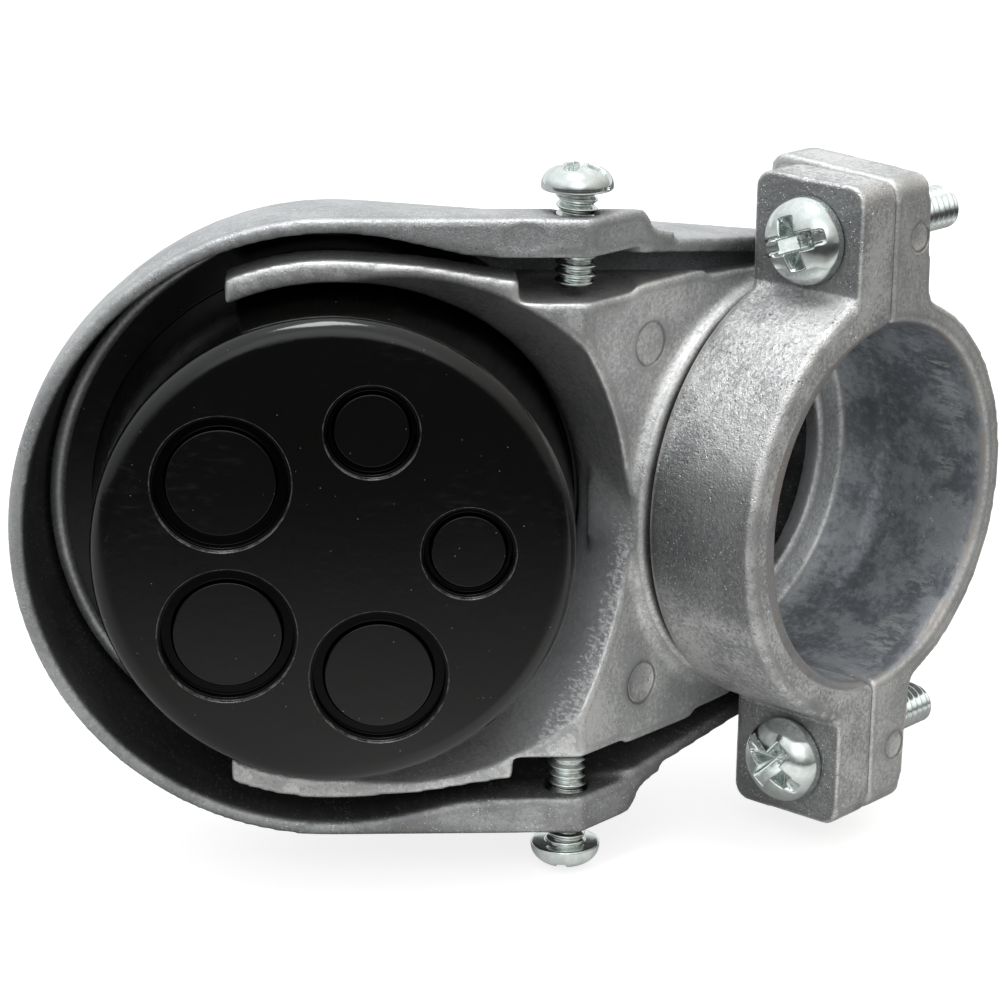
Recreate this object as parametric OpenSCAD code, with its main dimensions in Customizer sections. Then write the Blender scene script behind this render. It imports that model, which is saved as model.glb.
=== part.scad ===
// Service entrance weatherhead, clamp-on type, 1-1/4 in trade size.
// +Z runs up the conduit axis; the origin is the centre of the clamp mouth where
// the conduit enters. -Y is the front, towards which the wire face looks down at
// an angle. +X is the part's right.

/* [Conduit clamp] */
// Outside diameter of the conduit the clamp closes on
conduit_od = 42.2; // [38:0.1:50]
// Radial room between the conduit and the two halves of the clamp when round
bore_clearance = 0.45; // [0.1:0.05:0.6]
// Radial room between the conduit and the full ring it ends in
neck_clearance = 0.2; // [0.05:0.05:0.3]
// Length of the loose front half of the clamp along the conduit
strap_length = 15.2; // [12:0.1:22]
// Wall of the loose front half
strap_wall = 4.85; // [3.5:0.05:7]
// Wall of the fixed rear half at the mouth
collar_wall = 3.05; // [2.5:0.05:4.5]
// Wall of the full ring above the loose half
neck_wall = 3.7; // [3:0.1:5]
// How far the empty clamp closes past the round position
grip_travel = 1.7; // [0.4:0.1:2.4]
// Gap left between the two pairs of ears when the empty clamp is shut
seam_gap = 0.3; // [0.2:0.05:0.6]
// Distance from the bore wall to the clamp screw axis
ear_offset = 10.05; // [9:0.05:13]
// Distance from the clamp screw axis to the outer end of the ear
ear_margin = 6.9; // [6:0.1:8]
// How much farther out the rear ears reach at their upper end than at the mouth
ear_lean = 0.9; // [0.2:0.1:1.4]
// How far the outer part of the rear ears rises past the flat underside
ear_rise = 1.2; // [0.3:0.1:2]
// Thickness of the front ears
front_ear = 6.3; // [4:0.1:8]
// Thickness of the rear ears
rear_ear = 6.8; // [4:0.1:8]
// Corner radius of the ears
ear_corner = 2; // [1:0.1:3]
// Chamfer round the mouth
mouth_chamfer = 0.6; // [0.3:0.05:0.9]
// Depth from the mouth to the conduit stop
stop_depth = 21.5; // [20:0.1:26]
// Radius lost at the conduit stop
stop_step = 4.3; // [2:0.1:6]

/* [Body casting] */
// Drop from the strap's upper edge to the flat underside
neck_height = 2.2; // [1.5:0.1:4]
// Fillet radius between the neck and the underside
neck_fillet = 1.2; // [0.4:0.1:1.3]
// Thickness of the flat bottom plate
plate = 3; // [2:0.1:4]
// Half width of the body below the wire face
body_half = 27.6; // [26.5:0.1:27.8]
// Distance from the neck ring to the front lower corner
corner_reach = 7.5; // [6:0.1:12]
// Angle between the wire face and the flat underside
face_angle = 45; // [40:1:50]
// Distance along the front plane from the lower corner to the face axis
corner_drop = 28.4; // [27:0.1:31]
// Outer radius of the two arms round the insulator
arm_radius = 31.8; // [31:0.1:32.6]
// Radius of the lead-in cone where it meets the front plane
lead_radius = 30; // [29.4:0.1:30.4]
// Drop of the lead-in cone's axis below the face axis
lead_drop = 7.2; // [6.4:0.1:7.6]
// Loss of radius per millimetre of depth of the lead-in cone
lead_slope = 0.66; // [0.58:0.01:0.7]
// Depth of the arms
arm_depth = 6; // [4:0.1:9]
// Where the arm ends, above the face axis
arm_tip = 11.8; // [6:0.1:16]
// Depth of the recess the hood screw points into
spot_depth = 0.7; // [0.3:0.1:1.5]
// Radius of that recess
spot_radius = 7.2; // [6.4:0.1:7.6]

/* [Hood] */
// Outer radius of the hood rim
rim_radius = 36.4; // [36:0.1:38]
// Wall of the hood
hood_wall = 1.9; // [1.6:0.1:2.2]
// Depth of the upright rim band
rim_depth = 7.3; // [6.9:0.1:8.5]
// Thickness of the screw boss, measured in from the rim's outside
boss = 4.5; // [4.1:0.1:4.8]
// Depth of the dome behind the insulator ledge
dome_depth = 17; // [12:0.5:26]
// Air gap round the body's back
hood_air = 1; // [0.6:0.1:1.6]
// How much wider the skirt is at the screws than round the body's back
skirt_flare = 3.1; // [2.6:0.1:3.6]
// Outer radius of the hood where the insulator ledge sits
seat_radius = 35.2; // [35.1:0.1:35.8]

/* [Insulator] */
// Radius of the front face
disc_radius = 26.9; // [25:0.1:27.2]
// How far the face stands out of the front plane
face_stand = 7.5; // [4:0.1:10]
// Radius of the side wall where it meets the flange
skirt_radius = 28; // [27.4:0.1:28.1]
// Depth of the flange behind the front plane
flange_depth = 14.9; // [13.5:0.1:16]
// Radius of the flange
flange_radius = 32.9; // [31.8:0.1:33.2]
// Thickness of the flange
flange = 1.5; // [1:0.1:2.5]
// Half distance between the flange's two flats
flange_flat = 31.5; // [30.5:0.1:31.6]
// Rounding of the front edge
disc_edge = 2.2; // [1:0.1:3]
// Thickness of the front face
disc_face = 3.2; // [2.6:0.1:4.5]
// Radius of the circle the knockouts stand on
knockout_circle = 14.9; // [14.6:0.1:15.5]
// Radius of the three large knockouts
knockout_large = 7.75; // [6:0.05:7.9]
// Radius of the two small knockouts
knockout_small = 5.3; // [4:0.05:6]
// Turn of the knockout pattern in its seat
knockout_turn = 1.6; // [-4:0.1:4]

/* [Screws] */
// Thread diameter of the clamp screws
clamp_thread = 5.4; // [4:0.1:6]
// Length of the clamp screws under the head
clamp_length = 27; // [22:0.5:34]
// Head diameter of the clamp screws
clamp_head = 10.4; // [9:0.1:11]
// Thread diameter of the hood screws
hood_thread = 4.8; // [3.5:0.1:5]
// How far the hood screws' heads stand off the bosses
hood_backed_out = 2.5; // [0.5:0.1:4]
// Head diameter of the hood screws
hood_head = 8.1; // [7.5:0.1:9.5]
// Radial play of a screw in its threaded hole
thread_fit = 0.06; // [0.02:0.01:0.1]
// Radial play of a clamp screw in the loose half
hole_play = 0.35; // [0.3:0.05:0.6]
// Gap between parts that are put together but do not press
part_gap = 0.3; // [0.2:0.05:0.5]

/* [Hidden] */
$fn = 72;
e = 0.02;
bore_r = conduit_od / 2 + bore_clearance;
collar_r = bore_r + collar_wall;
neck_bore_r = conduit_od / 2 + neck_clearance;
neck_r = neck_bore_r + neck_wall;
strap_r = bore_r + strap_wall;
throat_r = neck_bore_r - stop_step;
screw_x = bore_r + ear_offset;
ear_x = screw_x + ear_margin;
screw_z = strap_length / 2 - 0.1;
plate_z = strap_length + neck_height;
plate_top = plate_z + plate;
neck_top = stop_depth + 2.5;
strap_gap = 0.4;
back_r = neck_r + 1.3;
corner_y = neck_r + corner_reach;
fy = -corner_y - corner_drop * sin(face_angle);
fz = plate_z + corner_drop * cos(face_angle);
screw_v = -27 - (corner_drop - 28.4);
screw_d = 4.5;
seat_z = -(flange_depth + flange);
hole_r = skirt_radius + 0.5;
skirt_r = back_r + hood_air + hood_wall;
band_z = -rim_depth;
spot_x = body_half - spot_depth;
tip_x = body_half + part_gap;
ear_foot = screw_x - clamp_head / 2 - part_gap;
ear_step = skirt_r + 1.5;
arm_end = screw_v + spot_radius - 0.7;
spot_v = screw_v + 0.4;
spot_z = -screw_d - 1.8;
head_x = rim_radius + hood_backed_out;
hood_length = head_x - tip_x;
cast = [0.70, 0.71, 0.72];
steel = [0.80, 0.81, 0.80];
black = [0.07, 0.07, 0.07];

// The front frame: origin where the face axis meets the front plane, +z out of
// the face, +y up the face away from the conduit, +x the part's right.
module front() translate([0, fy, fz]) rotate([180 - face_angle, 0, 0]) children();
module both() { children(); mirror([1, 0, 0]) children(); }
// Turns an upright shape so that its +z points along the part's -Y.
module along_front() rotate([90, 0, 0]) children();

module above_plate() {
    intersection() {
        children();
        translate([-90, -130, plate_z]) cube([180, 220, 160]);
    }
}

// Ring sector profile with the two outer corners rounded.
module band_profile(r0, r1, h, c) {
    union() {
        translate([r0, 0]) square([r1 - r0 - c, h]);
        translate([r0, c]) square([r1 - r0, h - 2 * c]);
        translate([r1 - c, c]) circle(c, $fn = 48);
        translate([r1 - c, h - c]) circle(c, $fn = 48);
    }
}

// One ear, its flat face on y = 0, reaching back by t, with rounded ends. It
// reaches out by lean more at its upper end, and outside ear_step it rises by more.
module ear(t, h, lean, more) {
    c = ear_corner;
    rotate([90, 0, 0]) translate([0, 0, -t]) linear_extrude(t) union() {
        polygon([[bore_r + 1.5, 0], [ear_x - c, 0], [ear_x, c], [ear_x + lean, h + more - c],
            [ear_x + lean - c, h], [bore_r + 1.5, h]]);
        translate([ear_step, h - 1]) square([ear_x + lean - c - ear_step, 1 + more]);
        translate([ear_x - c, c]) circle(c, $fn = 40);
        translate([ear_x + lean - c, h + more - c]) circle(c, $fn = 40);
    }
}

// The wide lead-in round the insulator: a cone whose axis sits a little below
// the face axis, and the straight hole the insulator's side wall stands in.
module lead_in(grow) {
    translate([0, -lead_drop, -14]) cylinder(h = 24, r1 = lead_radius - 14 * lead_slope + grow,
        r2 = lead_radius + 10 * lead_slope + grow, $fn = 120);
    translate([0, 0, -30]) cylinder(h = 24.1, r = hole_r + grow, $fn = 120);
    translate([0, 0, -6]) cylinder(h = 6.1, r1 = hole_r + grow, r2 = hole_r + 0.7 + grow, $fn = 120);
}

module arms() {
    difference() {
        union() {
            translate([0, 0, -arm_depth]) linear_extrude(arm_depth) {
                circle(arm_radius, $fn = 120);
                both() polygon([[0, -3.5], [arm_radius - 0.25, -3.5], [arm_radius - 0.35, -6.4],
                    [arm_radius - 0.85, -11.2], [arm_radius - 1.7, -16], [arm_radius - 2.4, arm_end], [0, arm_end]]);
            }
            translate([0, 0, -flange_depth + part_gap])
                cylinder(h = flange_depth - part_gap, r = hole_r + 1.1, $fn = 120);
        }
        translate([-60, arm_tip, -40]) cube([120, 60, 60]);
        translate([-60, -70, -40]) cube([120, 70 + arm_end, 60]);
    }
}

module body() color(cast) difference() {
    union() {
        // rear half of the collar with its ears
        difference() {
            translate([0, 0, 0]) cylinder(h = plate_z + e, r = collar_r, $fn = 120);
            translate([-60, -60, -1]) cube([120, 60 + seam_gap, plate_z - neck_height + strap_gap + 1]);
        }
        both() translate([0, seam_gap, 0]) ear(rear_ear, plate_z - part_gap, ear_lean, ear_rise);
        // the ears grow thicker towards the collar and leave it in a fillet
        both() linear_extrude(plate_z - part_gap) translate([0, seam_gap]) polygon([[bore_r + 1, 0],
            [ear_x - 2.5, 0], [ear_x - 2.5, rear_ear], [bore_r + 3.2, rear_ear + 0.7], [bore_r + 2.2, rear_ear + 1],
            [bore_r + 1.4, rear_ear + 1.8], [bore_r + 0.8, rear_ear + 3], [bore_r - 2, rear_ear + 4]]);
        // neck ring over the whole turn, and the boss round the throat
        translate([0, 0, strap_length + strap_gap]) cylinder(h = neck_top - strap_length - strap_gap, r = neck_r, $fn = 120);
        // fillet between the neck and the flat underside
        rotate_extrude($fn = 120) polygon(concat([[neck_r - 1, plate_z + 1], [neck_r - 1, plate_z - neck_fillet]],
            [for (a = [0:15:90]) [neck_r + neck_fillet * (1 - cos(a)), plate_z - neck_fillet * (1 - sin(a))]],
            [[neck_r + neck_fillet, plate_z + 1]]));
        // bottom plate
        above_plate() {
            translate([0, 0, plate_z]) cylinder(h = plate, r = back_r, $fn = 120);
            translate([0, 0, plate_z]) linear_extrude(plate) polygon([[-body_half, -corner_y - 6],
                [body_half, -corner_y - 6], [body_half, -corner_y + 9], [back_r + 0.1, -4], [back_r, 0],
                [-back_r, 0], [-back_r - 0.1, -4], [-body_half, -corner_y + 9]]);
            // low rib the hood drops over
            difference() {
                translate([0, 0, plate_z]) cylinder(h = plate + 4, r = back_r, $fn = 120);
                translate([0, 0, plate_z - 1]) cylinder(h = plate + 6, r = back_r - 2, $fn = 120);
                translate([-60, -60, plate_z - 1]) cube([120, 66, plate + 6]);
            }
            // arch block round the insulator
            difference() {
                front() translate([-body_half, -60, -flange_depth + part_gap])
                    cube([2 * body_half, 54, flange_depth - part_gap]);
                difference() {
                    translate([-body_half + 2.4, -80, plate_top]) cube([2 * body_half - 4.8, 90, 90]);
                    front() lead_in(2.4);
                }
            }
            front() arms();
        }
    }
    // nothing stands in front of the front plane
    difference() {
        front() translate([-60, -60, 0]) cube([120, 120, 60]);
        translate([-60, -neck_r - 4, -1]) cube([120, 120, plate_z + 1]);
    }
    // lead-in and seat for the insulator; the neck ring stays whole
    difference() {
        front() union() {
            lead_in(0);
            translate([0, 0, -flange_depth - 40]) cylinder(h = 40 + part_gap, r = flange_radius + part_gap, $fn = 120);
        }
        translate([0, 0, -1]) cylinder(h = neck_top + 1, r = neck_r, $fn = 120);
    }
    // bore, stop and throat
    translate([0, 0, -1]) cylinder(h = strap_length + strap_gap + 1, r = bore_r, $fn = 120);
    translate([0, 0, 0]) cylinder(h = stop_depth, r = neck_bore_r, $fn = 120);
    translate([0, 0, -e]) cylinder(h = mouth_chamfer, r1 = bore_r + mouth_chamfer, r2 = bore_r, $fn = 120);
    translate([0, 0, 0]) cylinder(h = neck_top + 1, r = throat_r, $fn = 120);
    // recesses for the hood screws: round, and open to the front beside the arm's end
    both() front() difference() {
        union() {
            translate([spot_x, spot_v, spot_z]) rotate([0, 90, 0]) cylinder(h = 20, r = spot_radius, $fn = 64);
            translate([spot_x, spot_v, spot_z]) cube([20, 20, 20]);
        }
        translate([0, arm_end, -40]) cube([60, 40, 80]);
    }
    // threaded holes of the clamp screws
    both() translate([screw_x, 40, screw_z]) along_front() cylinder(h = 60, r = clamp_thread / 2 + thread_fit, $fn = 40);
    // casting marks on the underside and on the ends of the ears
    both() translate([20.4, -21.8, plate_z - 1]) cylinder(h = 1.4, r = 2.5, $fn = 40);
    both() translate([screw_x - 0.4, seam_gap + 4.9, -1]) cylinder(h = 1.4, r = 1.7, $fn = 32);
}

// The line of a hood screw: origin on the middle plane, +z out to the side.
module screw_line() front() translate([0, screw_v, -screw_d]) rotate([0, 90, 0]) children();

module clamp_strap() color(cast) difference() {
    union() {
        difference() {
            translate([0, grip_travel, 0]) rotate_extrude($fn = 120)
                band_profile(bore_r, strap_r, strap_length, 1.2);
            translate([-60, 0, -1]) cube([120, 80, 60]);
        }
        both() translate([0, -front_ear, 0]) ear(front_ear, strap_length, 0.2, 0.05);
        // fillets that carry the band into the ears, clear of the screw heads
        both() translate([0, 0, 0.6]) linear_extrude(strap_length - 1.2) polygon([[bore_r + 1, 0], [ear_foot, 0],
            [ear_foot, -front_ear + 0.05], [strap_r - 1.05, -front_ear - 0.35], [strap_r - 1.65, -front_ear - 1.45],
            [strap_r - 2.4, -front_ear - 3], [bore_r - 1.2, -front_ear - 3.3]]);
    }
    translate([0, grip_travel, -1]) cylinder(h = strap_length + 2, r = bore_r, $fn = 120);
    translate([0, grip_travel, -e]) cylinder(h = mouth_chamfer, r1 = bore_r + mouth_chamfer, r2 = bore_r, $fn = 120);
    // chamfers where the bore meets the seam
    both() translate([0, 0, -1]) linear_extrude(strap_length + 2)
        polygon([[bore_r - 1, 0.2], [bore_r + 1.1, 0.2], [bore_r - 0.3, -1.2], [bore_r - 1, -1.2]]);
    // clearance holes of the clamp screws
    both() translate([screw_x, 30, screw_z]) along_front()
        cylinder(h = 60, r = clamp_thread / 2 + hole_play, $fn = 40);
}

module half_disc(r) polygon([for (t = [0:6:180]) [r * cos(t), r * sin(t)]]);

// The dome: hull of the rim circle, the rounded top and the back over the neck.
module dome(w, ahead) {
    hull() {
        front() {
            translate([0, 0, band_z - 1]) cylinder(h = 1 + ahead, r = rim_radius - 0.15 - w, $fn = 64);
            translate([0, 0, band_z - 1]) linear_extrude(1 + ahead) polygon([[-skirt_r - skirt_flare + w, -38 - w],
                [skirt_r + skirt_flare - w, -38 - w], [rim_radius - 0.2 - w, -1], [-rim_radius + 0.2 + w, -1]]);
            for (a = [0:10:80]) translate([0, 0, seat_z - (dome_depth - w) * sin(a)])
                linear_extrude(0.5) circle((seat_radius - w) * cos(a), $fn = 64);
        }
        // the back half only, so that nothing bulges through the open front
        translate([0, 0, plate_z - 1]) linear_extrude(6) half_disc(skirt_r - w);
        for (a = [0:15:75]) translate([0, 0, plate_z + 5 + (skirt_r - w) * 0.5 * sin(a)])
            linear_extrude(0.5) half_disc((skirt_r - w) * cos(a));
    }
}

// Outline of the rim seen along the face axis.
module rim_outline(r) {
    circle(r, $fn = 120);
    translate([-r, -70]) square([2 * r, 70]);
}

// Runs a profile down the outside of a screw boss from height v. The profile's
// origin is the back outer corner of the rim band, +x outwards, +y to the front.
module boss_run(v) translate([rim_radius, v, band_z]) rotate([90, 0, 0]) linear_extrude(45) children();

module hood() color(cast) difference() {
    above_plate() difference() {
        union() {
            front() difference() {
                translate([0, 0, band_z]) linear_extrude(rim_depth) difference() {
                    rim_outline(rim_radius);
                    circle(rim_radius - hood_wall + 0.1, $fn = 120);
                    // the wall thickens into the screw bosses
                    polygon([[rim_radius - hood_wall - 0.05, 0], [rim_radius - hood_wall - 0.4, -6],
                        [rim_radius - boss + 1.1, -11], [rim_radius - boss + 0.3, -14.5], [rim_radius - boss, -18],
                        [rim_radius - boss, -80], [-rim_radius + boss, -80], [-rim_radius + boss, -18],
                        [-rim_radius + boss - 0.3, -14.5], [-rim_radius + boss - 1.1, -11],
                        [-rim_radius + hood_wall + 0.4, -6], [-rim_radius + hood_wall + 0.05, 0]]);
                }
                both() boss_run(0) polygon([[1, 1.5], [0, 1.5], [-0.25, 0.7], [-0.8, 0.1], [-1.5, -0.1], [-1.5, -1], [1, -1]]);
            }
            // fillets from the bosses to the skirt
            front() both() boss_run(-12) polygon([[-1.5, 0.2], [-1.5, -0.15], [-2.2, -0.5], [-2.8, -1.1], [-3.2, -2],
                [-3.45, -3.3], [-4.6, -3.3], [-4.6, 0.2]]);
            dome(0, 0.6);
        }
        difference() {
            dome(hood_wall, 1);
            // ledge behind the insulator's flange
            front() difference() {
                translate([-50, -12, seat_z - part_gap - 2]) cube([100, 60, 2]);
                translate([0, 0, seat_z - 10]) cylinder(h = 20, r = flange_radius - 2.1, $fn = 120);
            }
        }
    }
    both() screw_line() translate([0, 0, 20]) cylinder(h = 30, r = hood_thread / 2 + thread_fit, $fn = 40);
    // casting marks on the boss faces
    front() {
        translate([rim_radius - boss / 2, -21.2, -0.3]) cylinder(h = 1, r = 2.1, $fn = 40);
        translate([-rim_radius + boss / 2, -23, -0.3]) cylinder(h = 1, r = 2.1, $fn = 40);
    }
}

// Groove round one knockout: sharp edge, narrow step, groove, low centre disc.
module knockout(r) {
    rotate_extrude($fn = 72) polygon([[r * 0.78, 0.4], [r, 0.4], [r, -0.6], [r - 0.35, -0.6],
        [r - 0.35, -1.5], [r * 0.78 + 0.2, -1.5], [r * 0.78, -0.7], [0, -0.7], [0, 0.4]]);
}

module insulator() color(black) front() difference() {
    intersection() {
        rotate_extrude($fn = 120) difference() {
            union() {
                polygon([[0, -flange_depth - flange], [flange_radius, -flange_depth - flange],
                    [flange_radius, -flange_depth], [skirt_radius, -flange_depth], [disc_radius, face_stand - disc_edge],
                    [disc_radius - disc_edge, face_stand], [0, face_stand]]);
                translate([disc_radius - disc_edge, face_stand - disc_edge]) circle(disc_edge, $fn = 48);
            }
            translate([0, -60]) square([skirt_radius - 2.4, 60 + face_stand - disc_face - 3]);
            translate([0, -60]) square([disc_radius - 5, 60 + face_stand - disc_face]);
            translate([-100, -60]) square([100, 120]);
        }
        translate([-flange_flat, -60, -60]) cube([2 * flange_flat, 120, 120]);
    }
    for (k = [0:4]) {
        t = 54 + 72 * k + knockout_turn;
        r = k < 3 ? knockout_large : knockout_small;
        translate([knockout_circle * cos(t), knockout_circle * sin(t), face_stand]) knockout(r);
    }
}

// Pan-head screw, underside of the head on z = 0, shank running down.
module pan_screw(d, length, head, rise, turn) {
    difference() {
        union() {
            rotate_extrude($fn = 64) polygon(concat([[0, 0], [head / 2 - 0.15, 0], [head / 2, 0.5]],
                [for (a = [10:10:90]) [head / 2 * cos(a) * (1 - 0.08 * sin(2 * a)), 0.5 + (rise - 0.5) * sin(a)]]));
            translate([0, 0, -length + 0.6]) cylinder(h = length - 0.6 + e, r = d / 2, $fn = 48);
            translate([0, 0, -length]) cylinder(h = 0.6, r1 = d / 2 - 0.6, r2 = d / 2, $fn = 48);
        }
        rotate(turn) {
            translate([-head / 2 - 1, -head * 0.055, rise - head * 0.13]) cube([head + 2, head * 0.11, 5]);
            for (q = [0, 90]) rotate(q) translate([0, 0, rise * 0.35])
                rotate([90, 0, 0]) translate([0, 0, -head * 0.06]) linear_extrude(head * 0.12)
                    polygon([[-head * 0.1, 0], [head * 0.1, 0], [head * 0.3, rise], [-head * 0.3, rise]]);
        }
    }
}

module clamp_screw(turn) translate([screw_x, -front_ear - 0.02, screw_z]) along_front()
    pan_screw(clamp_thread, clamp_length, clamp_head, clamp_head * 0.37, turn);
module clamp_screw_right() color(steel) clamp_screw(20);
module clamp_screw_left() color(steel) mirror([1, 0, 0]) clamp_screw(-35);

module hood_screw(turn) screw_line() translate([0, 0, head_x])
    pan_screw(hood_thread, hood_length, hood_head, hood_head * 0.36, turn);
module hood_screw_right() color(steel) hood_screw(15);
module hood_screw_left() color(steel) mirror([1, 0, 0]) hood_screw(60);

body();
clamp_strap();
hood();
insulator();
clamp_screw_right();
clamp_screw_left();
hood_screw_right();
hood_screw_left();
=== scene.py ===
"""A clamp-on service entrance weatherhead: die-cast body, clamp strap and hood, a black moulded wire
face, and four zinc-plated screws, drawn in metres in the part's own frame."""

import bpy
import numpy as np
from mathutils import Matrix, Vector


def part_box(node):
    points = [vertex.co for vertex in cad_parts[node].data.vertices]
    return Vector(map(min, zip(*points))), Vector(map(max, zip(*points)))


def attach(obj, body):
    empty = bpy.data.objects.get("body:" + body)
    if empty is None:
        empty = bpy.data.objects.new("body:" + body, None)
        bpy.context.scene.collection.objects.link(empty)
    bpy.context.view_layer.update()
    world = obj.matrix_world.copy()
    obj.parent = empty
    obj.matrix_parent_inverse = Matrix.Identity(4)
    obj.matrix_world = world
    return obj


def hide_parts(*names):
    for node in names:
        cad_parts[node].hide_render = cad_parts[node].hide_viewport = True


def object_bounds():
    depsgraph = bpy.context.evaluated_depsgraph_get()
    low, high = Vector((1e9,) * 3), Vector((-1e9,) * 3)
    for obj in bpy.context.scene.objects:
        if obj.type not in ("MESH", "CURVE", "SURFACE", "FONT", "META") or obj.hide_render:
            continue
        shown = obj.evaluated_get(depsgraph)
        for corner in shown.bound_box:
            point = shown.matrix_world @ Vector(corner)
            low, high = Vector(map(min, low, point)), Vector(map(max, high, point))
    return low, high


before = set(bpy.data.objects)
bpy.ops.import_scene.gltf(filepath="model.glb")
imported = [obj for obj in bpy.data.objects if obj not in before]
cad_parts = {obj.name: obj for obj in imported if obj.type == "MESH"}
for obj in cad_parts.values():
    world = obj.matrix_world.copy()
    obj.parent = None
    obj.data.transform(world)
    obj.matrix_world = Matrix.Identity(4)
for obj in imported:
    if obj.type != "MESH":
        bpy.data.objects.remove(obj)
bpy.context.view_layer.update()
MM = 0.001


# ---- Body casting ----
# One aluminium die casting: the neck, the rear half of the conduit clamp, the flat underside, and the arch
# with two arms that holds the wire face. It is tumbled to break its edges, and then handled, so that its
# edges are brighter, its bore is dirty, its corners are darkened with dirt and painted shade, and its
# lead-in cone is scratched. The lower half of the cone is painted paler, as painted light.
BORE_RADIUS, BORE_DEPTH = 22.1, 21.2  # the limits of the bore's dirty skin, in mm
UNDERSIDE_MARKS = [((side * 20.4, -21.8, 17.2), 2.5) for side in (1, -1)]  # centre and radius in mm
EAR_MARKS = [((side * 31.2, 5.2, 0.2), 1.7) for side in (1, -1)]
RIDGE_START, RIDGE_CHORD = (-6.3, -25.6, 17.8), (-0.897, -0.4345, 0.0836)  # a point in mm, a direction
CAST_METALLIC = 0.8
# The front colour is painted shade for faces that look forwards; the corner colour is painted shade and dirt.
FRONT_SHADE, SHADE_AND_GRIME, DARK_GRAIN = (0.17, 0.175, 0.18), (0.035, 0.033, 0.03), (0.10, 0.10, 0.10)
BROWN_DIRT, BRIGHT_METAL, SCRATCH_WHITE = (0.20, 0.165, 0.13), (0.90, 0.90, 0.89), (0.95, 0.95, 0.95)


def tumble(name, voxel, rounds, keep):
    """Rounds every edge of a casting as tumbling does: the surface is rebuilt on a grid of voxel mm, each
    point is moved half way to the mean of its neighbours, rounds times, and the flat parts are thinned
    until only the share keep of the triangles is left."""
    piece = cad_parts[name]
    skin = piece.modifiers.new("skin", "REMESH")
    skin.mode, skin.voxel_size, skin.use_smooth_shade = "VOXEL", voxel * MM, True
    worn = piece.modifiers.new("tumbled edges", "SMOOTH")
    worn.factor, worn.iterations = 0.5, rounds
    if keep < 1:
        thin = piece.modifiers.new("thinning", "DECIMATE")
        thin.ratio = keep
    return piece


def add(tree, kind, sockets=None, **settings):
    """Puts a node into tree. sockets maps an input's name or number to a value or another node's output."""
    node = tree.nodes.new(kind)
    for key, value in settings.items():
        setattr(node, key, value)
    for key, value in (sockets or {}).items():
        if isinstance(value, bpy.types.NodeSocket):
            tree.links.new(value, node.inputs[key])
        else:
            node.inputs[key].default_value = value
    return node


def calc(tree, operation, a, b=0.0):
    """a and b joined by a Math node."""
    return add(tree, "ShaderNodeMath", {0: a, 1: b}, operation=operation).outputs[0]


def product(tree, first, *others):
    """All the values multiplied together."""
    for other in others:
        first = calc(tree, "MULTIPLY", first, other)
    return first


def rest_of(tree, share):
    """What is left of 1 without share."""
    return calc(tree, "SUBTRACT", 1.0, share)


def vector(tree, operation, *vectors):
    """The result of a Vector Math node: a number for a dot product or a length, or else a vector."""
    node = add(tree, "ShaderNodeVectorMath", dict(enumerate(vectors)), operation=operation)
    return node.outputs["Value" if operation in ("DOT_PRODUCT", "LENGTH") else "Vector"]


def ramp(tree, value, low, high, to_low=0.0, to_high=1.0):
    """value mapped from low..high to to_low..to_high with a smooth step, and held at the ends."""
    return add(tree, "ShaderNodeMapRange", {"Value": value, "From Min": low, "From Max": high,
               "To Min": to_low, "To Max": to_high}, interpolation_type="SMOOTHSTEP").outputs["Result"]


def in_mm(tree):
    """The place on the piece, in mm."""
    place = add(tree, "ShaderNodeTexCoord").outputs["Object"]
    return add(tree, "ShaderNodeMapping", {"Vector": place, "Scale": (1000, 1000, 1000)}).outputs[0]


def noise(tree, place, scale, detail=3.0, rough=0.55, stretch=None):
    """Fractal noise, 0 to 1, with scale features per mm; stretch scales the place along x, y and z."""
    if stretch:
        place = add(tree, "ShaderNodeMapping", {"Vector": place, "Scale": stretch}).outputs[0]
    return add(tree, "ShaderNodeTexNoise", {"Vector": place, "Scale": scale, "Detail": detail,
               "Roughness": rough}).outputs["Fac"]


def blend(tree, amount, a, b):
    """The colour a turned to b by amount."""
    mix = add(tree, "ShaderNodeMix", {0: amount}, data_type="RGBA")
    for number, value in ((6, a), (7, b)):
        if isinstance(value, bpy.types.NodeSocket):
            tree.links.new(value, mix.inputs[number])
        else:
            mix.inputs[number].default_value = (*value, 1)
    return mix.outputs[2]


def bump(tree, height, strength, depth, **under):
    """The normal of a relief of height, depth mm deep, laid over the normal in under if one is given."""
    return add(tree, "ShaderNodeBump", {"Height": height, "Strength": strength, "Distance": depth * MM,
               **under}).outputs[0]


def group(name, inputs, outputs):
    """An empty shader group with float inputs (name, default) and float outputs."""
    tree = bpy.data.node_groups.new(name, "ShaderNodeTree")
    for label, default in inputs:
        socket = tree.interface.new_socket(label, in_out="INPUT", socket_type="NodeSocketFloat")
        socket.default_value = default
    for label in outputs:
        tree.interface.new_socket(label, in_out="OUTPUT", socket_type="NodeSocketFloat")
    return tree, tree.nodes.new("NodeGroupInput").outputs, tree.nodes.new("NodeGroupOutput").inputs


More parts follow.
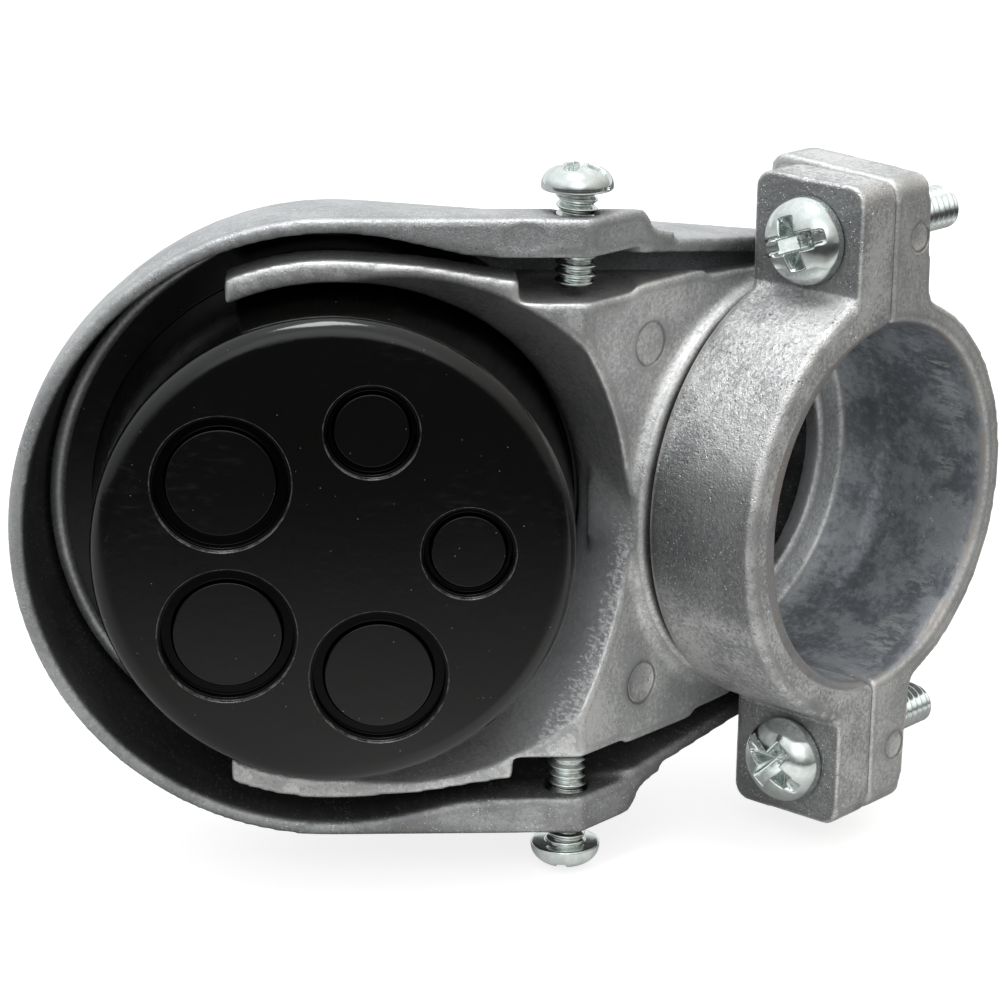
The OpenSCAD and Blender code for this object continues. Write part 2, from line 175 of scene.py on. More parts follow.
def cast_skin_group():
    """Skin of a die casting. With p the place in mm and n(s) fractal noise of s features per mm:
    Tone = 0.5 n(0.11) + 0.5 n(1.9), the clouds of a stained surface;
    Height = grain * n(4.5) + dents * n(1.2) - pits, the pits where a cell's heart meets a rough cloud;
    Gleam = single bright grains, Dark = single dark grains, both in the hearts of small cells;
    Edge = worn convex edges, broken up by the fine noise so that they look rubbed, not painted;
    Beside = the brownish line of dirt that such an edge leaves beside it;
    Front = how squarely the surface faces the front;
    Shade and grime = the corners that the air can't reach within Reach metres, to be darkened with painted
    shade and dirt; Shut is the share of open air, 0 to 1, at which they are no longer darkened."""
    g, given, out = group("cast skin",
                          [("Grain", 0.3), ("Dents", 0.3), ("Pits", 0.3), ("Reach", 0.006), ("Shut", 0.55)],
                          ["Tone", "Height", "Gleam", "Dark", "Edge", "Beside", "Front", "Shade and grime"])
    p = in_mm(g)
    clouds = noise(g, p, 0.11, 5.0, 0.62)
    mottle = noise(g, p, 1.9, 4.0, 0.75)
    fine = noise(g, p, 4.5, 3.0, 0.65)
    g.links.new(calc(g, "ADD", product(g, clouds, 0.5), product(g, mottle, 0.5)), out["Tone"])

    cell = add(g, "ShaderNodeTexVoronoi", {"Vector": p, "Scale": 1.7}, feature="F1")
    pit = product(g, ramp(g, cell.outputs["Distance"], 0.08, 0.32, 1.0, 0.0),
                  ramp(g, noise(g, p, 0.35, 4.0, 0.6), 0.5, 0.64))
    rough = calc(g, "ADD", product(g, fine, given["Grain"]),
                 product(g, noise(g, p, 1.2, 3.0, 0.55), given["Dents"]))
    g.links.new(calc(g, "SUBTRACT", rough, product(g, pit, given["Pits"])), out["Height"])

    speck = add(g, "ShaderNodeTexVoronoi", {"Vector": p, "Scale": 4.2}, feature="F1")
    chance = add(g, "ShaderNodeSeparateColor", {0: speck.outputs["Color"]}).outputs
    heart = product(g, ramp(g, speck.outputs["Distance"], 0.18, 0.40, 1.0, 0.0),
                    ramp(g, noise(g, p, 0.3, 4.0, 0.6), 0.42, 0.62, 0.25, 1.0))
    g.links.new(product(g, heart, ramp(g, chance[0], 0.74, 0.90)), out["Gleam"])
    g.links.new(product(g, heart, ramp(g, chance[1], 0.74, 0.88)), out["Dark"])

    bend = add(g, "ShaderNodeNewGeometry").outputs["Pointiness"]
    rubbed = ramp(g, fine, 0.40, 0.60, 0.2, 1.0)
    g.links.new(product(g, ramp(g, bend, 0.508, 0.560), rubbed), out["Edge"])
    beside = product(g, ramp(g, bend, 0.502, 0.507), ramp(g, bend, 0.510, 0.522, 1.0, 0.0))
    g.links.new(product(g, beside, ramp(g, mottle, 0.45, 0.6)), out["Beside"])

    normal = add(g, "ShaderNodeTexCoord").outputs["Normal"]
    g.links.new(ramp(g, vector(g, "DOT_PRODUCT", normal, (0, -1, 0)), 0.90, 0.985), out["Front"])
    air = add(g, "ShaderNodeAmbientOcclusion", {"Distance": given["Reach"]}, samples=6).outputs["AO"]
    patchy_air = calc(g, "ADD", air, product(g, calc(g, "SUBTRACT", clouds, 0.5), 0.4))
    g.links.new(ramp(g, patchy_air, 0.10, given["Shut"], 1.0, 0.0), out["Shade and grime"])
    return g


CAST_SKIN = cast_skin_group()


def cast_metal(name, dark, light, rough, grain, dents, pits, relief, sparkle, reach, shut, front, edge):
    """Cast aluminium with a roughness of about rough. The base colour runs from dark to light with the
    tone, is darkened in the corners with painted shade and dirt and, by front, darkened as painted shade on
    the faces that look forwards, and is lifted by edge on worn edges and by sparkle on single grains, where
    the metal is also smoother. grain, dents and pits weigh the relief, which is relief strong, and painted
    shade with grime fills what is closed in within reach mm, up to the openness shut. Returns the material,
    its tree and shader, and its colour and roughness outputs."""
    material = bpy.data.materials.new(name)
    material.use_nodes = True
    t = material.node_tree
    skin = add(t, "ShaderNodeGroup", node_tree=CAST_SKIN)
    for label, value in (("Grain", grain), ("Dents", dents), ("Pits", pits), ("Reach", reach * MM),
                         ("Shut", shut)):
        skin.inputs[label].default_value = value
    s = skin.outputs
    tone = ramp(t, s["Tone"], 0.42, 0.58)
    colour = blend(t, tone, dark, light)
    # Faces that look forwards are darkened by front: painted shade.
    colour = blend(t, product(t, s["Front"], front), colour, FRONT_SHADE)
    # Corners and hollows that the air can't reach are darkened: painted shade, with some dirt.
    colour = blend(t, product(t, s["Shade and grime"], 0.85), colour, SHADE_AND_GRIME)
    colour = blend(t, product(t, s["Dark"], 0.8 * sparkle), colour, DARK_GRAIN)
    colour = blend(t, product(t, s["Beside"], 0.5), colour, BROWN_DIRT)
    shine = calc(t, "MAXIMUM", product(t, s["Edge"], edge), product(t, s["Gleam"], sparkle))
    colour = blend(t, shine, colour, BRIGHT_METAL)
    roughness = calc(t, "ADD", rough, product(t, tone, -0.06))
    roughness = calc(t, "ADD", roughness, product(t, s["Shade and grime"], 0.10))
    roughness = calc(t, "SUBTRACT", roughness, product(t, shine, 0.14))
    bsdf = t.nodes["Principled BSDF"]
    bsdf.inputs["Metallic"].default_value = CAST_METALLIC
    t.links.new(bump(t, s["Height"], relief, 0.1), bsdf.inputs["Normal"])
    return material, t, bsdf, colour, roughness


def scuffed_bore(t, colour, roughness):
    """The bore, inside BORE_RADIUS and below BORE_DEPTH: bluish grey, with brown stains, a brown line at
    the mouth, and scuffs along the axis in a band near the mouth, where conduits were pushed in."""
    p = in_mm(t)
    x, y, z = add(t, "ShaderNodeSeparateXYZ", {0: p}).outputs
    out = calc(t, "SQRT", calc(t, "ADD", product(t, x, x), product(t, y, y)))
    inside = product(t, ramp(t, out, BORE_RADIUS - 0.35, BORE_RADIUS, 1.0, 0.0),
                     ramp(t, z, BORE_DEPTH - 0.8, BORE_DEPTH, 1.0, 0.0))
    cloud = calc(t, "ADD", product(t, noise(t, p, 0.13, 5.0, 0.65), 0.6),
                 product(t, noise(t, p, 1.1, 5.0, 0.75), 0.4))
    inner = blend(t, ramp(t, cloud, 0.41, 0.59), (0.34, 0.365, 0.40), (0.76, 0.785, 0.82))
    inner = blend(t, ramp(t, noise(t, p, 0.19, 4.0, 0.6), 0.58, 0.70, 0.0, 0.6), inner, (0.26, 0.215, 0.17))
    near_mouth = product(t, ramp(t, z, 2.2, 3.4), ramp(t, z, 6.4, 8.2, 1.0, 0.0))
    scuff = product(t, ramp(t, noise(t, p, 1.0, 5.0, 0.75, (1, 1, 0.30)), 0.49, 0.58), near_mouth,
                    ramp(t, noise(t, p, 0.16, 2.0, 0.5), 0.42, 0.56))
    fleck = product(t, ramp(t, noise(t, p, 2.4, 4.0, 0.8, (1, 1, 0.5)), 0.61, 0.68),
                    ramp(t, noise(t, p, 0.15, 3.0, 0.5), 0.46, 0.60))
    bright = calc(t, "MAXIMUM", scuff, fleck)
    inner = blend(t, product(t, bright, 0.9), inner, (1.0, 1.0, 1.0))
    stain = product(t, ramp(t, z, 0.5, 1.5, 1.0, 0.0), ramp(t, cloud, 0.42, 0.56, 0.2, 0.75))
    inner = blend(t, stain, inner, (0.24, 0.19, 0.15))
    roughness = calc(t, "SUBTRACT", roughness, product(t, inside, bright, 0.12))
    return blend(t, inside, colour, inner), roughness


def pin_marks(t, bsdf, colour, marks):
    """The round marks of the die's ejector pins on faces that look along z, each given by its centre and
    its radius in mm: a fine groove round the floor, which holds some dirt."""
    p = in_mm(t)
    lines = 0.0
    for centre, radius in marks:
        off = vector(t, "SUBTRACT", p, centre)
        out = vector(t, "LENGTH", vector(t, "CROSS_PRODUCT", off, (0, 0, 1)))
        deep = vector(t, "DOT_PRODUCT", off, (0, 0, 1))
        line = ramp(t, calc(t, "ABSOLUTE", calc(t, "SUBTRACT", out, radius)), 0.04, 0.26, 1.0, 0.0)
        line = product(t, line, ramp(t, calc(t, "ABSOLUTE", deep), 0.7, 1.2, 1.0, 0.0))
        lines = calc(t, "MAXIMUM", line, lines)
    normal = bsdf.inputs["Normal"].links[0].from_socket
    t.links.new(bump(t, calc(t, "SUBTRACT", 0.0, lines), 0.8, 0.12, Normal=normal), bsdf.inputs["Normal"])
    dirt = product(t, lines, ramp(t, noise(t, p, 0.5, 3.0, 0.6), 0.35, 0.6, 0.35, 1.0), 0.6)
    return blend(t, dirt, colour, (0.13, 0.12, 0.11))


def cone_painted_light_and_scratches(t, bsdf, colour, roughness):
    """The lower half of the lead-in cone, painted pale and less metallic as painted light, with white
    scratches that crowd towards its ridge. Its place comes from the normal, x and z, and the scratches gather
    where a point's distance from the ridge's chord, the line from RIDGE_START along RIDGE_CHORD, is short."""
    p = in_mm(t)
    normal = add(t, "ShaderNodeTexCoord").outputs["Normal"]
    faces = vector(t, "DOT_PRODUCT", normal, (0.35, -0.92, 0.14))
    x, _, z = add(t, "ShaderNodeSeparateXYZ", {0: p}).outputs
    cone = product(t, ramp(t, faces, 0.80, 0.93), ramp(t, z, 13.0, 15.0), ramp(t, x, -1.0, 6.0, 1.0, 0.0))
    off = vector(t, "SUBTRACT", p, RIDGE_START)
    away = vector(t, "LENGTH", vector(t, "CROSS_PRODUCT", off, RIDGE_CHORD))
    crowd = product(t, ramp(t, away, 1.0, 4.0, 1.0, 0.0), 0.13)
    scratch = calc(t, "ADD", noise(t, p, 2.4, 5.0, 0.8, (1, 1, 0.5)), crowd)
    scratch = product(t, cone, ramp(t, scratch, 0.61, 0.67))
    # The lower half of the cone is painted paler: painted light.
    colour = blend(t, product(t, cone, 0.5), colour, (0.60, 0.63, 0.66))
    colour = blend(t, scratch, colour, SCRATCH_WHITE)
    # Less metal there brightens it further as painted light; the scratches lose metal too.
    metal_off_for_lit_patch_and_scratches = calc(t, "ADD", product(t, cone, 0.35), product(t, scratch, 0.35))
    t.links.new(calc(t, "SUBTRACT", CAST_METALLIC, metal_off_for_lit_patch_and_scratches), bsdf.inputs["Metallic"])
    return colour, calc(t, "SUBTRACT", roughness, product(t, scratch, 0.1))


def dress(piece, material, bsdf=None, colour=None, roughness=None):
    """Gives the material to the piece, after its colour and roughness are led to its shader."""
    if bsdf:
        material.node_tree.links.new(colour, bsdf.inputs["Base Color"])
        material.node_tree.links.new(roughness, bsdf.inputs["Roughness"])
    piece.data.materials.clear()
    piece.data.materials.append(material)


body = tumble("body", voxel=0.42, rounds=9, keep=1)
metal, tree, bsdf, colour, roughness = cast_metal(
    "cast body", dark=(0.46, 0.465, 0.465), light=(0.72, 0.72, 0.71), rough=0.50, grain=0.8, dents=0.8,
    pits=0.8, relief=0.6, sparkle=1.0, reach=3, shut=0.5, front=0.0, edge=0.5)
colour = pin_marks(tree, bsdf, colour, UNDERSIDE_MARKS + EAR_MARKS)
# The lower half of the lead-in cone is painted paler as painted light, and scratched.
colour, roughness = cone_painted_light_and_scratches(tree, bsdf, colour, roughness)
dress(body, metal, bsdf, *scuffed_bore(tree, colour, roughness))


# ---- Clamp strap ----
# The loose front half of the clamp, a smaller casting of the same metal. It comes from the die rough
# and pitted, and only its edges are rubbed bright.
strap = tumble("clamp_strap", voxel=0.28, rounds=9, keep=1)
# front 0.7 darkens the strap's faces that look forwards as painted shade.
metal, tree, bsdf, colour, roughness = cast_metal(
    "cast strap", dark=(0.38, 0.385, 0.39), light=(0.78, 0.78, 0.775), rough=0.46, grain=1.2, dents=1.0,
    pits=2.0, relief=1.0, sparkle=1.6, reach=3, shut=0.5, front=0.7, edge=0.5)
dress(strap, metal, bsdf, *scuffed_bore(tree, colour, roughness))


# ---- Hood ----
# The removable rain hood, a thin die-cast shell. Its outside is tumbled smooth, and its inside is darkened
# with painted shade.
hood = tumble("hood", voxel=0.42, rounds=9, keep=0.45)
# reach 28 and shut 0.85 darken the whole hollow of the hood as painted shade.
metal, tree, bsdf, colour, roughness = cast_metal(
    "cast hood", dark=(0.38, 0.385, 0.395), light=(0.52, 0.525, 0.53), rough=0.50, grain=1.0, dents=0.6,
    pits=0.5, relief=0.8, sparkle=1.0, reach=28, shut=0.85, front=0.0, edge=0.12)
dress(hood, metal, bsdf, colour, roughness)


# ---- Wire face ----
# The insulator is one black compression moulding with five knockouts. It has a faint gloss, a painted
# highlight along the knockouts' lips, grooves round them painted deepest black and made to reflect almost
# nothing as painted shade, and a few dry specks of dust and rub marks.
KNOCKOUT_CIRCLE = 14.9
KNOCKOUTS = [(7.75 if i < 3 else 5.3, 55.6 + 72 * i) for i in range(5)]  # radius in mm, turn in degrees
DISC_SHARE = 0.78  # radius of the disc in a knockout's middle, as a share of the knockout's
# The deepest black is painted shade for the grooves.
GLOSSY_BLACK, RUBBED_BLACK, GROOVE_SHADE_BLACK = (0.0022, 0.0022, 0.0020), (0.012, 0.0115, 0.011), (0.001,) * 3
# The pale lip colour is a painted highlight.
PAINTED_LIP_HIGHLIGHT, DUST = (0.22, 0.21, 0.20), (0.22, 0.22, 0.22)
OUT_OF_FACE = np.array([0, -1, -1]) / np.sqrt(2)
UP_FACE = np.array([0, -1, 1]) / np.sqrt(2)

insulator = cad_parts["insulator"]
merge = insulator.modifiers.new("merge", "WELD")
merge.merge_threshold = 0.01 * MM
flats = insulator.modifiers.new("flats", "DECIMATE")
flats.decimate_type, flats.angle_limit = "DISSOLVE", 0.01
edges = insulator.modifiers.new("edges", "BEVEL")
edges.width, edges.segments, edges.limit_method, edges.angle_limit = 0.14 * MM, 2, "ANGLE", 0.5
shading = insulator.modifiers.new("flat faces stay flat", "WEIGHTED_NORMAL")
shading.weight, shading.keep_sharp = 100, False

points = np.empty(3 * len(insulator.data.vertices), np.float32)
insulator.data.vertices.foreach_get("co", points)
points = points.reshape(-1, 3)
stand_out, rise_up = points @ OUT_OF_FACE, points @ UP_FACE
on_face = rise_up[stand_out > stand_out.max() - 0.01 * MM]
face_centre = OUT_OF_FACE * stand_out.max() + UP_FACE * (on_face.max() + on_face.min()) / 2

moulding = bpy.data.materials.new("black moulding")
moulding.use_nodes = True
t = moulding.node_tree
bsdf = t.nodes["Principled BSDF"]
place = add(t, "ShaderNodeTexCoord").outputs["Object"]
p = in_mm(t)
groove, lips = 0.0, 0.0
for radius, turn in KNOCKOUTS:
    turn = np.radians(turn)
    spoke = np.array([np.cos(turn), 0, 0]) + UP_FACE * np.sin(turn)
    off = vector(t, "SUBTRACT", place, Vector(face_centre + spoke * KNOCKOUT_CIRCLE * MM))
    off_axis = vector(t, "LENGTH", vector(t, "CROSS_PRODUCT", off, Vector(OUT_OF_FACE)))
    off_axis = product(t, off_axis, 1 / MM)
    # The groove round each knockout's disc gets painted shade.
    ring = product(t, ramp(t, off_axis, DISC_SHARE * radius - 0.15, DISC_SHARE * radius + 0.05),
                   ramp(t, off_axis, radius - 0.12, radius - 0.02, 1.0, 0.0))
    groove = calc(t, "MAXIMUM", ring, groove)
    # A thin line along each knockout's lip gets a painted highlight.
    from_lip = calc(t, "ABSOLUTE", calc(t, "SUBTRACT", off_axis, radius + 0.03))
    lips = calc(t, "MAXIMUM", ramp(t, from_lip, 0.02, 0.10, 1.0, 0.0), lips)
dust = add(t, "ShaderNodeTexVoronoi", {"Vector": p, "Scale": 1.1}, feature="F1").outputs
rare = add(t, "ShaderNodeSeparateColor", {0: dust["Color"]}).outputs[0]
speck = product(t, ramp(t, dust["Distance"], 0.04, 0.10, 1.0, 0.0), ramp(t, rare, 0.80, 0.9))
rub = product(t, ramp(t, noise(t, p, 1.2, 4.0, 0.65, (1, 0.3, 0.3)), 0.50, 0.75),
              ramp(t, noise(t, p, 0.07, 3.0, 0.5), 0.42, 0.62))
# The painted highlight on the lips, broken up by noise.
worn = product(t, lips, ramp(t, noise(t, p, 0.9, 4.0, 0.7), 0.40, 0.62, 0.15, 1.0))
black = blend(t, product(t, rub, 0.5), GLOSSY_BLACK, RUBBED_BLACK)
black = blend(t, product(t, worn, 0.6), black, PAINTED_LIP_HIGHLIGHT)
black = blend(t, speck, black, DUST)
# The grooves are painted deep black and, by metal on black, reflect almost nothing: painted shade.
black = blend(t, groove, black, GROOVE_SHADE_BLACK)
t.links.new(product(t, groove, 0.7), bsdf.inputs["Metallic"])
t.links.new(bump(t, noise(t, p, 0.6, 5.0, 0.6), 0.16, 0.1), bsdf.inputs["Normal"])
dress(insulator, moulding, bsdf, black, calc(t, "ADD", 0.14, product(t, rub, 0.14)))


# ---- Seat lip ----
# A low bead of the body's metal, rolled over the edge of the moulding's flange to hold it in its seat.
# It shows as a pale crescent inside the hood, and runs out to nothing behind the arms. Its metal is
# painted lighter than the body's and kept out of the corner shade, as painted light.
FACE_STAND, FLANGE_DEPTH = 7.5, 14.9  # the face before the front plane, and the flange behind it


def mesh_from_grid(name, grid):
    """Closed surface from a grid (i, j, xyz) that wraps in j and whose first and last rows are points."""
    rows, columns = grid.shape[:2]
    verts = np.vstack([grid[0, :1], grid[1:-1].reshape(-1, 3), grid[-1, :1]])
    i, j = np.meshgrid(np.arange(rows - 3), np.arange(columns), indexing="ij")
    a, b = 1 + i * columns + j, 1 + i * columns + (j + 1) % columns
    quads = np.stack([a, a + columns, b + columns, b], -1).reshape(-1, 4)
    k = np.arange(columns)
    last = 1 + (rows - 3) * columns
    cap = np.stack([np.zeros(columns, int), 1 + k, 1 + (k + 1) % columns], -1)
    end = np.stack([last + k, np.full(columns, len(verts) - 1), last + (k + 1) % columns], -1)
    mesh = bpy.data.meshes.new(name)
    mesh.from_pydata(verts.tolist(), [], quads.tolist() + cap.tolist() + end.tolist())
    mesh.polygons.foreach_set("use_smooth", np.ones(len(mesh.polygons), bool))
    mesh.update()
    piece = bpy.data.objects.new(name, mesh)
    bpy.context.scene.collection.objects.link(piece)
    return piece


def bead(radius, half_width, half_height, reach):
    """Points of a bead along an arc of radius mm, from -reach to reach degrees about the face's upper end,
    as a closed grid (s, angle). Its section is an ellipse, half_width along the radius and half_height
    along the face's axis, both times (1 - |s|^3)^0.5 with s from -1 to 1, so that it ends in points."""
    s = np.linspace(-1, 1, 181)[:, None]
    a = np.linspace(0, 2 * np.pi, 25)[None, :-1]
    full = np.sqrt(np.clip(1 - np.abs(s) ** 3, 0, 1))
    r, h = radius + half_width * full * np.cos(a), half_height * full * np.sin(a)
    turn = np.radians(reach) * s
    across = np.array([1.0, 0, 0])
    return ((r * np.cos(turn))[..., None] * UP_FACE + (r * np.sin(turn))[..., None] * across
            + h[..., None] * OUT_OF_FACE)


flange_centre = face_centre - (FACE_STAND + FLANGE_DEPTH) * MM * OUT_OF_FACE
lip_grid = bead(radius=32.0, half_width=0.9, half_height=0.7, reach=66)
lip_piece = mesh_from_grid("seat_lip", flange_centre + lip_grid * MM)
# A lighter copy of the body's metal, with little corner shade: painted light.
metal, tree, bsdf, colour, roughness = cast_metal(
    "cast lip painted light", dark=(0.62, 0.63, 0.64), light=(0.92, 0.92, 0.92), rough=0.42, grain=0.6, dents=0.6,
    pits=0.4, relief=0.5, sparkle=0.6, reach=0.4, shut=0.3, front=0.0, edge=0.0)
dress(lip_piece, metal, bsdf, colour, roughness)
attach(lip_piece, "casting")


# ---- Screws ----
# Zinc-plated steel machine screws with pan heads and a combined cross and slot recess. Two larger ones
# close the clamp and two smaller ones hold the hood, all with 24 threads to the inch.
PITCH = 25.4 / 24
THREAD_DEPTH = 0.50
RIM_BULGE = 0.02
AROUND, OVER_HEAD, PER_THREAD = 144, 90, 14  # rows and columns of a screw's surface
CLEAN_ZINC, BLOOMED_ZINC, RECESS_SHADE = (0.66, 0.715, 0.695), (0.80, 0.835, 0.815), (0.16, 0.17, 0.15)
SCREWS = {  # width of the thread in mm, height of the head by its width, turn of the recess in radians
    "clamp_screw_right": (5.3, 0.37, 0.35),
    "clamp_screw_left": (5.3, 0.37, -0.6),
    "hood_screw_right": (4.7, 0.36, 0.3),
    "hood_screw_left": (4.7, 0.36, 1.0),
}


def within(v, half):
    """1 where v is within half of 0, in mm, and 0 past it, over a bank about 0.1 mm wide."""
    return 1 / (1 + np.exp(-(half - np.abs(v)) / 0.035))


def recess(x, y, dome, head, rise):
    """Depth of the recess in mm: the deeper of a slot along x, flat at 0.62 of the rise, and two crossed
    wings, whose floor climbs from 0.06 of the rise with the power 1.5 of the distance from the middle."""
    depth = within(y, 0.066 * head) * np.clip(dome - rise * 0.62, 0, None)
    for along, aside in ((x, y), (y, x)):
        floor = rise * 0.06 + np.clip(np.abs(along) / (0.31 * head), 0, 2) ** 1.5 * rise * 0.80
        depth = np.maximum(depth, within(aside, 0.094 * head) * np.clip(dome - floor, 0, None))
    return depth


def screw_surface(d, length, head, rise, turn):
    """Points of one screw in mm, axis +z, bearing face on z = 0, as a closed grid (s, angle).
    s runs down the axis: over the domed head, whose height is
        z = 0.5 + (rise - 0.5) * sqrt(1 - (r / R)^2.3) less the recess,
    round the rim, in along the bearing face, and down the shank, where the radius is
        r = d/2 - depth * tri(z / pitch + angle / 2 pi), with tri a triangle wave cut flat at the crest,
    and in along the chamfered tip."""
    angle = np.linspace(0, 2 * np.pi, AROUND + 1)[:-1]
    big = head / 2
    r_top, a = np.meshgrid(big * np.sin(np.linspace(0, 0.5 * np.pi, OVER_HEAD)), angle, indexing="ij")
    dome = 0.5 + (rise - 0.5) * np.sqrt(np.clip(1 - (r_top / big) ** 2.3, 0, 1))
    z_top = dome - recess(r_top * np.cos(a - turn), r_top * np.sin(a - turn), dome, head, rise)
    rim_r = np.array([big + RIM_BULGE, big, big - 0.10, big - 0.3, d / 2 + 0.15, d / 2])
    rim_z = np.array([0.38, 0.18, 0.05, 0.0, 0.0, -0.02])
    z_shank = np.arange(-0.1, -length + 0.55, -PITCH / PER_THREAD)
    phase = (z_shank[:, None] / PITCH + angle[None] / (2 * np.pi)) % 1
    tri = np.clip(np.abs(phase - 0.5) * 2 * 1.15 - 0.1, 0, 1)
    fade = np.clip((-z_shank[:, None] - 0.2) / 0.5, 0, 1)
    r_shank = d / 2 - THREAD_DEPTH * fade * tri
    tip_r = np.array([d / 2 - 0.55, d / 2 - 0.75, d / 4, 0.0])
    tip_z = np.array([-length + 0.35, -length + 0.02, -length, -length])

    def wide(column):
        """A column repeated for every angle."""
        return np.repeat(column[:, None], len(angle), 1)

    r = np.vstack([r_top, wide(rim_r), r_shank, np.minimum(wide(tip_r), r_shank[-1:])])
    z = np.vstack([z_top, wide(rim_z), wide(z_shank), wide(tip_z)])
    return np.stack([r * np.cos(angle), r * np.sin(angle), z], -1)


zinc = bpy.data.materials.new("zinc plate")
zinc.use_nodes = True
t = zinc.node_tree
bsdf = t.nodes["Principled BSDF"]
p = in_mm(t)
air = add(t, "ShaderNodeAmbientOcclusion", {"Distance": 1.5 * MM}, samples=6).outputs["AO"]
plate = blend(t, ramp(t, noise(t, p, 0.9, 4.0, 0.6), 0.35, 0.7), CLEAN_ZINC, BLOOMED_ZINC)
# The recess, where the air is shut in, is darkened: painted shade.
plate = blend(t, ramp(t, air, 0.25, 0.75, 0.75, 0.0), plate, RECESS_SHADE)
t.links.new(plate, bsdf.inputs["Base Color"])
t.links.new(ramp(t, noise(t, p, 2.2, 4.0, 0.65), 0.3, 0.75, 0.12, 0.22), bsdf.inputs["Roughness"])
t.links.new(bump(t, noise(t, p, 1.1, 3.0, 0.5), 0.14, 0.08), bsdf.inputs["Normal"])
bsdf.inputs["Metallic"].default_value = 1.0

for name, (thread, rise_share, turn) in SCREWS.items():
    low, high = (np.array(corner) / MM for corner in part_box(name))
    if name.startswith("clamp"):
        along, way_out = 1, -1.0
    else:
        along, way_out = 0, 1.0 if name.endswith("right") else -1.0
    axis, across = np.zeros(3), np.array([0, 0, 1.0])
    axis[along] = way_out
    head = (high - low)[1 - along]
    rise = rise_share * head
    seat = (low + high) / 2
    seat[along] = (high if way_out > 0 else low)[along] - way_out * rise
    grid = screw_surface(thread, (high - low)[along] - rise, head - 2 * RIM_BULGE, rise, turn)
    grid = seat + grid[..., :1] * across + grid[..., 1:2] * np.cross(axis, across) + grid[..., 2:] * axis
    piece = mesh_from_grid(name + "_thread", grid * MM)
    dress(piece, zinc)
    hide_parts(name)
    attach(piece, name)


# ---- Studio ----
# The fitting lies on its left side on pale paper, in a dim room whose backdrop is white, under one
# overhead softbox. The camera sees the paper as white with a faint shadow. For other rays its colour is
# painted light, grey near the fitting and dark out in front and to the right, and mirror rays see it glow,
# most in one paler strip by the fitting's front.
BEHIND = (0, 0.743, 0.669)  # along the paper, away from the camera
CLAMP_END = (0.011, 0.672, -0.741)  # to the camera's right, where the clamp is
GAP_UNDER, HALF_SHEET = 0.0002, 3.0
UNLIT_PAPER, LIT_PAPER = (0.01, 0.01, 0.01), (0.38, 0.38, 0.37)

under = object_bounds()[0][0] - GAP_UNDER
sheet = bpy.data.meshes.new("paper")
sheet.from_pydata([(under, y * HALF_SHEET, z * HALF_SHEET) for y, z in ((-1, -1), (1, -1), (1, 1), (-1, 1))],
                  [], [(0, 1, 2, 3)])
floor = bpy.data.objects.new("paper", sheet)
bpy.context.scene.collection.objects.link(floor)
paper = bpy.data.materials.new("paper")
paper.use_nodes = True
t = paper.node_tree
matte = t.nodes["Principled BSDF"]
matte.inputs["Roughness"].default_value = 0.9
matte.inputs["Emission Color"].default_value = (1, 1, 1, 1)
spot = add(t, "ShaderNodeTexCoord").outputs["Object"]
away = vector(t, "DOT_PRODUCT", spot, BEHIND)
right = vector(t, "DOT_PRODUCT", spot, (0, *CLAMP_END[1:]))
# lit is a painted pool of light on the paper, near the fitting, fading to the front and right.
lit = product(t, ramp(t, away, -0.19, -0.04), ramp(t, right, 0.03, 0.20, 1.0, 0.25))
ray = add(t, "ShaderNodeLightPath").outputs
mirrored = product(t, ray["Is Glossy Ray"], ramp(t, right, -0.02, 0.03, 0.0, 0.5))
tone = product(t, lit, rest_of(t, mirrored))
t.links.new(blend(t, tone, UNLIT_PAPER, LIT_PAPER), matte.inputs["Base Color"])
seen = calc(t, "MAXIMUM", ray["Is Camera Ray"], ray["Is Transmission Ray"])
white = product(t, seen, rest_of(t, product(t, lit, 0.22)))
# A painted glow that only mirror rays see, brightest in a strip by the fitting's front.
pale_strip = product(t, ramp(t, away, -0.09, -0.045), ramp(t, away, -0.02, 0.0, 1.0, 0.0),
                     ramp(t, right, -0.075, -0.045))
sheen = calc(t, "ADD", product(t, lit, 0.12), product(t, pale_strip, 0.42))
glow = calc(t, "ADD", white, product(t, ray["Is Glossy Ray"], sheen))
t.links.new(glow, matte.inputs["Emission Strength"])
hidden = add(t, "ShaderNodeMixShader", {0: add(t, "ShaderNodeNewGeometry").outputs["Backfacing"]})
t.links.new(matte.outputs[0], hidden.inputs[1])
t.links.new(add(t, "ShaderNodeBsdfTransparent").outputs[0], hidden.inputs[2])
t.links.new(hidden.outputs[0], t.nodes["Material Output"].inputs["Surface"])
sheet.materials.append(paper)

studio = bpy.data.worlds.new("studio")
bpy.context.scene.world = studio
studio.use_nodes = True
t = studio.node_tree
back = t.nodes["Background"]
ray = add(t, "ShaderNodeLightPath").outputs
way = add(t, "ShaderNodeTexCoord").outputs["Generated"]
height = vector(t, "DOT_PRODUCT", way, (1, 0, 0))
forwards = vector(t, "DOT_PRODUCT", way, BEHIND)
clampwards = vector(t, "DOT_PRODUCT", way, CLAMP_END)
above_front = vector(t, "DOT_PRODUCT", way, (0.45, -0.665, -0.597))
past_fitting = vector(t, "DOT_PRODUCT", way, (-0.295, 0.710, 0.640))
room = calc(t, "ADD", ramp(t, height, -0.75, 0.05, 0.20, 0.56), ramp(t, height, -0.05, 0.75, 0.0, 0.60))
dark_front = product(t, ramp(t, forwards, -0.95, -0.45, 1.0, 0.0), ramp(t, height, 0.05, 0.3, 1.0, 0.0), 0.62)
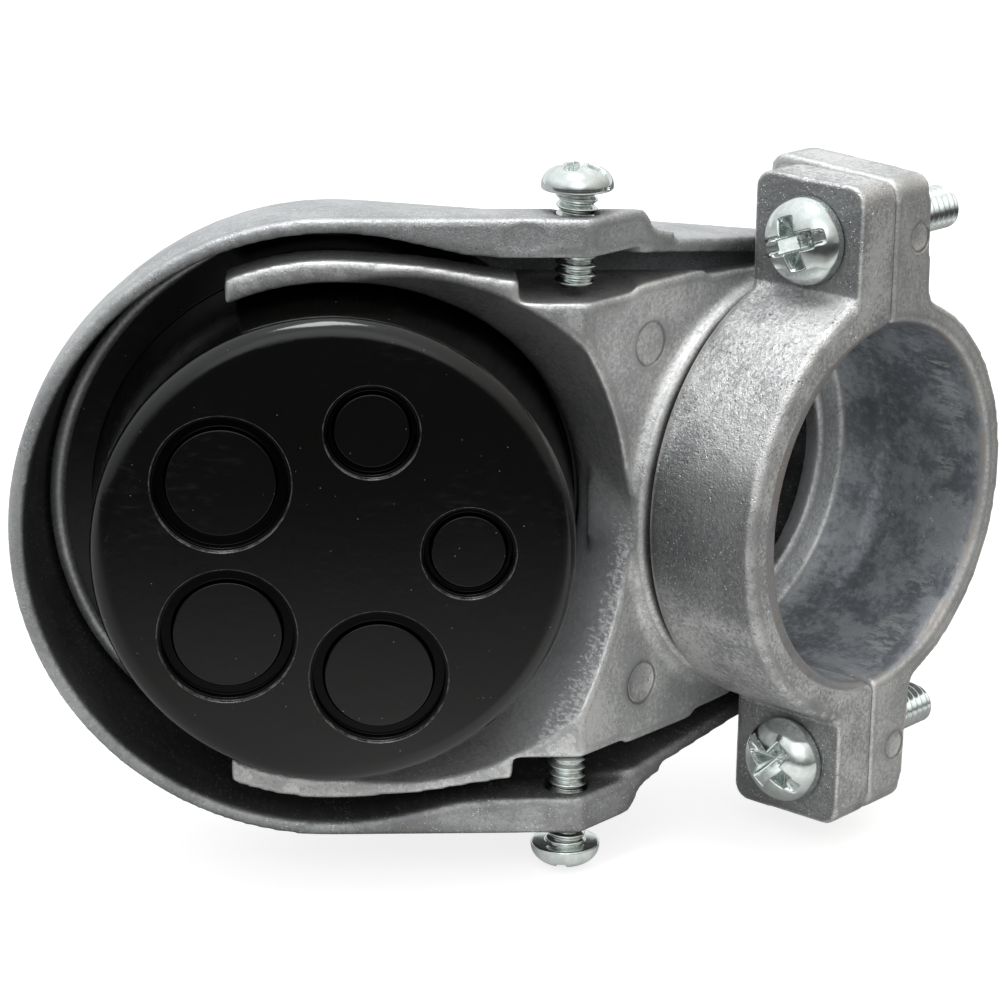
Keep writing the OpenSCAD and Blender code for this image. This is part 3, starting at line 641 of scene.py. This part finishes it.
room = product(t, room, rest_of(t, dark_front), ramp(t, clampwards, 0.3, 0.95, 1.0, 0.7))
room = calc(t, "ADD", room, ramp(t, above_front, 0.86, 0.98, 0.0, 0.55))
backdrop = product(t, ramp(t, past_fitting, 0.30, 0.65),
                   calc(t, "ADD", 0.6, product(t, ray["Is Glossy Ray"], 0.4)))
direct = calc(t, "MAXIMUM", ray["Is Camera Ray"], ray["Is Transmission Ray"])
level = calc(t, "MAXIMUM", direct, calc(t, "MAXIMUM", room, backdrop))
t.links.new(level, back.inputs["Strength"])
warm = product(t, ramp(t, clampwards, 0.1, 0.8), rest_of(t, direct))
tint = blend(t, warm, (0.965, 0.99, 1.0), (1.0, 0.975, 0.94))
t.links.new(blend(t, direct, tint, (1, 1, 1)), back.inputs["Color"])

SOFTBOX_PLACE, SOFTBOX_AIM = Vector((0.60, -0.12, 0.02)), Vector((0, -0.03, 0.03))
lamp = bpy.data.lights.new("overhead", "AREA")
lamp.shape, lamp.size, lamp.size_y, lamp.energy = "RECTANGLE", 0.26, 0.20, 1.8
softbox = bpy.data.objects.new("overhead", lamp)
softbox.location = SOFTBOX_PLACE
softbox.rotation_mode = "QUATERNION"
softbox.rotation_quaternion = (SOFTBOX_AIM - SOFTBOX_PLACE).to_track_quat("-Z", "Y")
bpy.context.scene.collection.objects.link(softbox)

EYE = Vector((0.10787, -0.28878, -0.20032))
AHEAD = Vector((-0.29481, 0.70999, 0.63953)).normalized()
TOP_OF_VIEW = Vector((0.95549, 0.21104, 0.20618))
right_hand = AHEAD.cross(TOP_OF_VIEW).normalized()
lens = bpy.data.cameras.new("lens")
lens.lens, lens.sensor_width = 112.8, 36.0
lens.clip_start, lens.clip_end = 0.01, 20.0
camera = bpy.data.objects.new("camera", lens)
bpy.context.scene.collection.objects.link(camera)
turned = Matrix((right_hand, right_hand.cross(AHEAD), -AHEAD)).transposed().to_4x4()
camera.matrix_world = Matrix.Translation(EYE) @ turned
bpy.context.scene.camera = camera
bpy.context.scene.view_settings.view_transform = "Standard"
